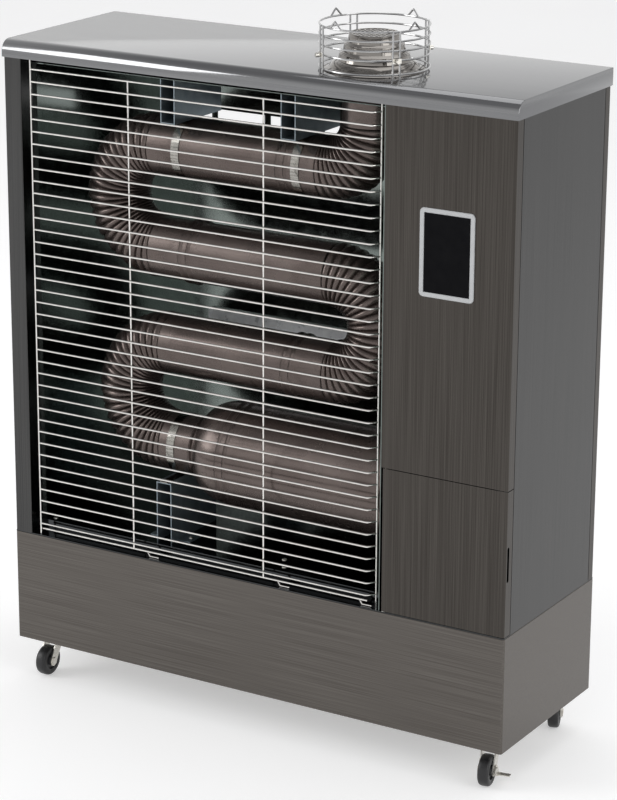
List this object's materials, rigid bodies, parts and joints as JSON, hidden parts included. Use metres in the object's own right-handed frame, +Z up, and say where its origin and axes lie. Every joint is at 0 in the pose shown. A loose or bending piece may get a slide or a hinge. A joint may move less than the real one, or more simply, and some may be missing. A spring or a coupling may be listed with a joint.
{
  "type": "diesel infrared heater",
  "caption": "Wheeled cabinet heater: flue tubes behind a wire grille, fuel burner behind a hinged door, a side display and a caged flue outlet on top.",
  "frame": {"origin": "on the floor under the middle of the cabinet", "axes": "+X along the front towards the display column, +Y from the front to the back, +Z up"},
  "size_m": [0.903, 0.307, 1.1461],
  "materials": {
    "brushed_stainless": "brushed",
    "polished_stainless": "polished",
    "mirror_steel": "polished",
    "galvanised_steel": "satin",
    "heat_tube_steel": "satin, heat tinted",
    "bright_wire": "polished",
    "light_plastic": "satin",
    "display_glass": "glossy",
    "circuit_board": "satin",
    "black_plastic": "matte",
    "burner_metal": "satin",
    "tank_paint": "satin",
    "zinc_steel": "satin",
    "tyre_rubber": "matte",
    "hub_plastic": "satin"
  },
  "bodies": {
    "cabinet": {"back_panel": "brushed_stainless", "back_reflector": "mirror_steel", "base_deck": "brushed_stainless", "base_plinth": "brushed_stainless", "burner_housing": "burner_metal", "burner_motor": "burner_metal", "burner_tube": "burner_metal", "caster_plates": "zinc_steel", "combustion_drum": "heat_tube_steel", "control_board": "circuit_board", "control_panel": "brushed_stainless", "display_bezel": "light_plastic", "display_glass": "display_glass", "door_fittings": "galvanised_steel", "drum_stand": "galvanised_steel", "fasteners": "zinc_steel", "floor_reflector": "mirror_steel", "flue_collar": "polished_stainless", "flue_guard": "bright_wire", "flue_mesh": "bright_wire", "fuel_line": "burner_metal", "fuel_pump": "burner_metal", "fuel_tank": "tank_paint", "grille": "bright_wire", "ignition_transformer": "black_plastic", "left_post": "brushed_stainless", "left_side_panel": "brushed_stainless", "lower_left_bend": "heat_tube_steel", "lower_tube": "heat_tube_steel", "middle_tube": "heat_tube_steel", "outlet_elbow": "heat_tube_steel", "outlet_pipe": "heat_tube_steel", "partition": "galvanised_steel", "power_inlet": "black_plastic", "right_bend": "heat_tube_steel", "right_side_panel": "brushed_stainless", "side_reflector": "mirror_steel", "top_cover": "polished_stainless", "tube_hangers": "galvanised_steel", "tube_straps": "bright_wire", "upper_left_bend": "heat_tube_steel", "upper_tube": "heat_tube_steel", "wall_rail": "galvanised_steel"},
    "service_door": {"service_door": "brushed_stainless"},
    "fuel_cap": {"fuel_cap": "black_plastic"},
    "burner_fan": {"burner_fan": "burner_metal"},
    "caster_front_left": {"caster_fork_front_left": "zinc_steel"},
    "wheel_front_left": {"tyre_front_left": "tyre_rubber", "hub_front_left": "hub_plastic"},
    "caster_front_right": {"caster_fork_front_right": "zinc_steel"},
    "wheel_front_right": {"tyre_front_right": "tyre_rubber", "hub_front_right": "hub_plastic"},
    "brake_front_right": {"brake_pedal_front_right": "zinc_steel"},
    "caster_rear_left": {"caster_fork_rear_left": "zinc_steel"},
    "wheel_rear_left": {"tyre_rear_left": "tyre_rubber", "hub_rear_left": "hub_plastic"},
    "brake_rear_left": {"brake_pedal_rear_left": "zinc_steel"},
    "caster_rear_right": {"caster_fork_rear_right": "zinc_steel"},
    "wheel_rear_right": {"tyre_rear_right": "tyre_rubber", "hub_rear_right": "hub_plastic"}
  },
  "joints": [
    {"name": "door_hinge", "type": "hinge", "parent": "cabinet", "child": "service_door", "pos_m": [0.2416, -0.146, 0.3705], "axis": [0, 0, 1], "range_deg": [-100, 0]},
    {"name": "fuel_cap_turn", "type": "hinge", "parent": "cabinet", "child": "fuel_cap", "pos_m": [0.372, -0.098, 0.295], "axis": [0, 0, 1], "range_deg": [0, 90]},
    {"name": "fan_spin", "type": "hinge", "parent": "cabinet", "child": "burner_fan", "pos_m": [0.268, -0.048, 0.445], "axis": [1, 0, 0], "continuous": true},
    {"name": "swivel_front_left", "type": "hinge", "parent": "cabinet", "child": "caster_front_left", "pos_m": [-0.41, -0.106, 0.0593], "axis": [0, 0, 1], "continuous": true},
    {"name": "roll_front_left", "type": "hinge", "parent": "caster_front_left", "child": "wheel_front_left", "pos_m": [-0.41, -0.126, 0.025], "axis": [1, 0, 0], "continuous": true},
    {"name": "swivel_front_right", "type": "hinge", "parent": "cabinet", "child": "caster_front_right", "pos_m": [0.41, -0.106, 0.0593], "axis": [0, 0, 1], "continuous": true},
    {"name": "roll_front_right", "type": "hinge", "parent": "caster_front_right", "child": "wheel_front_right", "pos_m": [0.41347, -0.1257, 0.025], "axis": [0.9848, 0.1736, 0], "continuous": true},
    {"name": "brake_press_front_right", "type": "hinge", "parent": "caster_front_right", "child": "brake_front_right", "pos_m": [0.41347, -0.1257, 0.025], "axis": [0.9848, 0.1736, 0], "range_deg": [-15, 0]},
    {"name": "swivel_rear_left", "type": "hinge", "parent": "cabinet", "child": "caster_rear_left", "pos_m": [-0.41, 0.106, 0.0593], "axis": [0, 0, 1], "continuous": true},
    {"name": "roll_rear_left", "type": "hinge", "parent": "caster_rear_left", "child": "wheel_rear_left", "pos_m": [-0.40316, 0.12479, 0.025], "axis": [-0.9397, 0.342, 0], "continuous": true},
    {"name": "brake_press_rear_left", "type": "hinge", "parent": "caster_rear_left", "child": "brake_rear_left", "pos_m": [-0.40316, 0.12479, 0.025], "axis": [-0.9397, 0.342, 0], "range_deg": [-15, 0]},
    {"name": "swivel_rear_right", "type": "hinge", "parent": "cabinet", "child": "caster_rear_right", "pos_m": [0.41, 0.106, 0.0593], "axis": [0, 0, 1], "continuous": true},
    {"name": "roll_rear_right", "type": "hinge", "parent": "caster_rear_right", "child": "wheel_rear_right", "pos_m": [0.40316, 0.12479, 0.025], "axis": [-0.9397, -0.342, 0], "continuous": true}
  ]
}
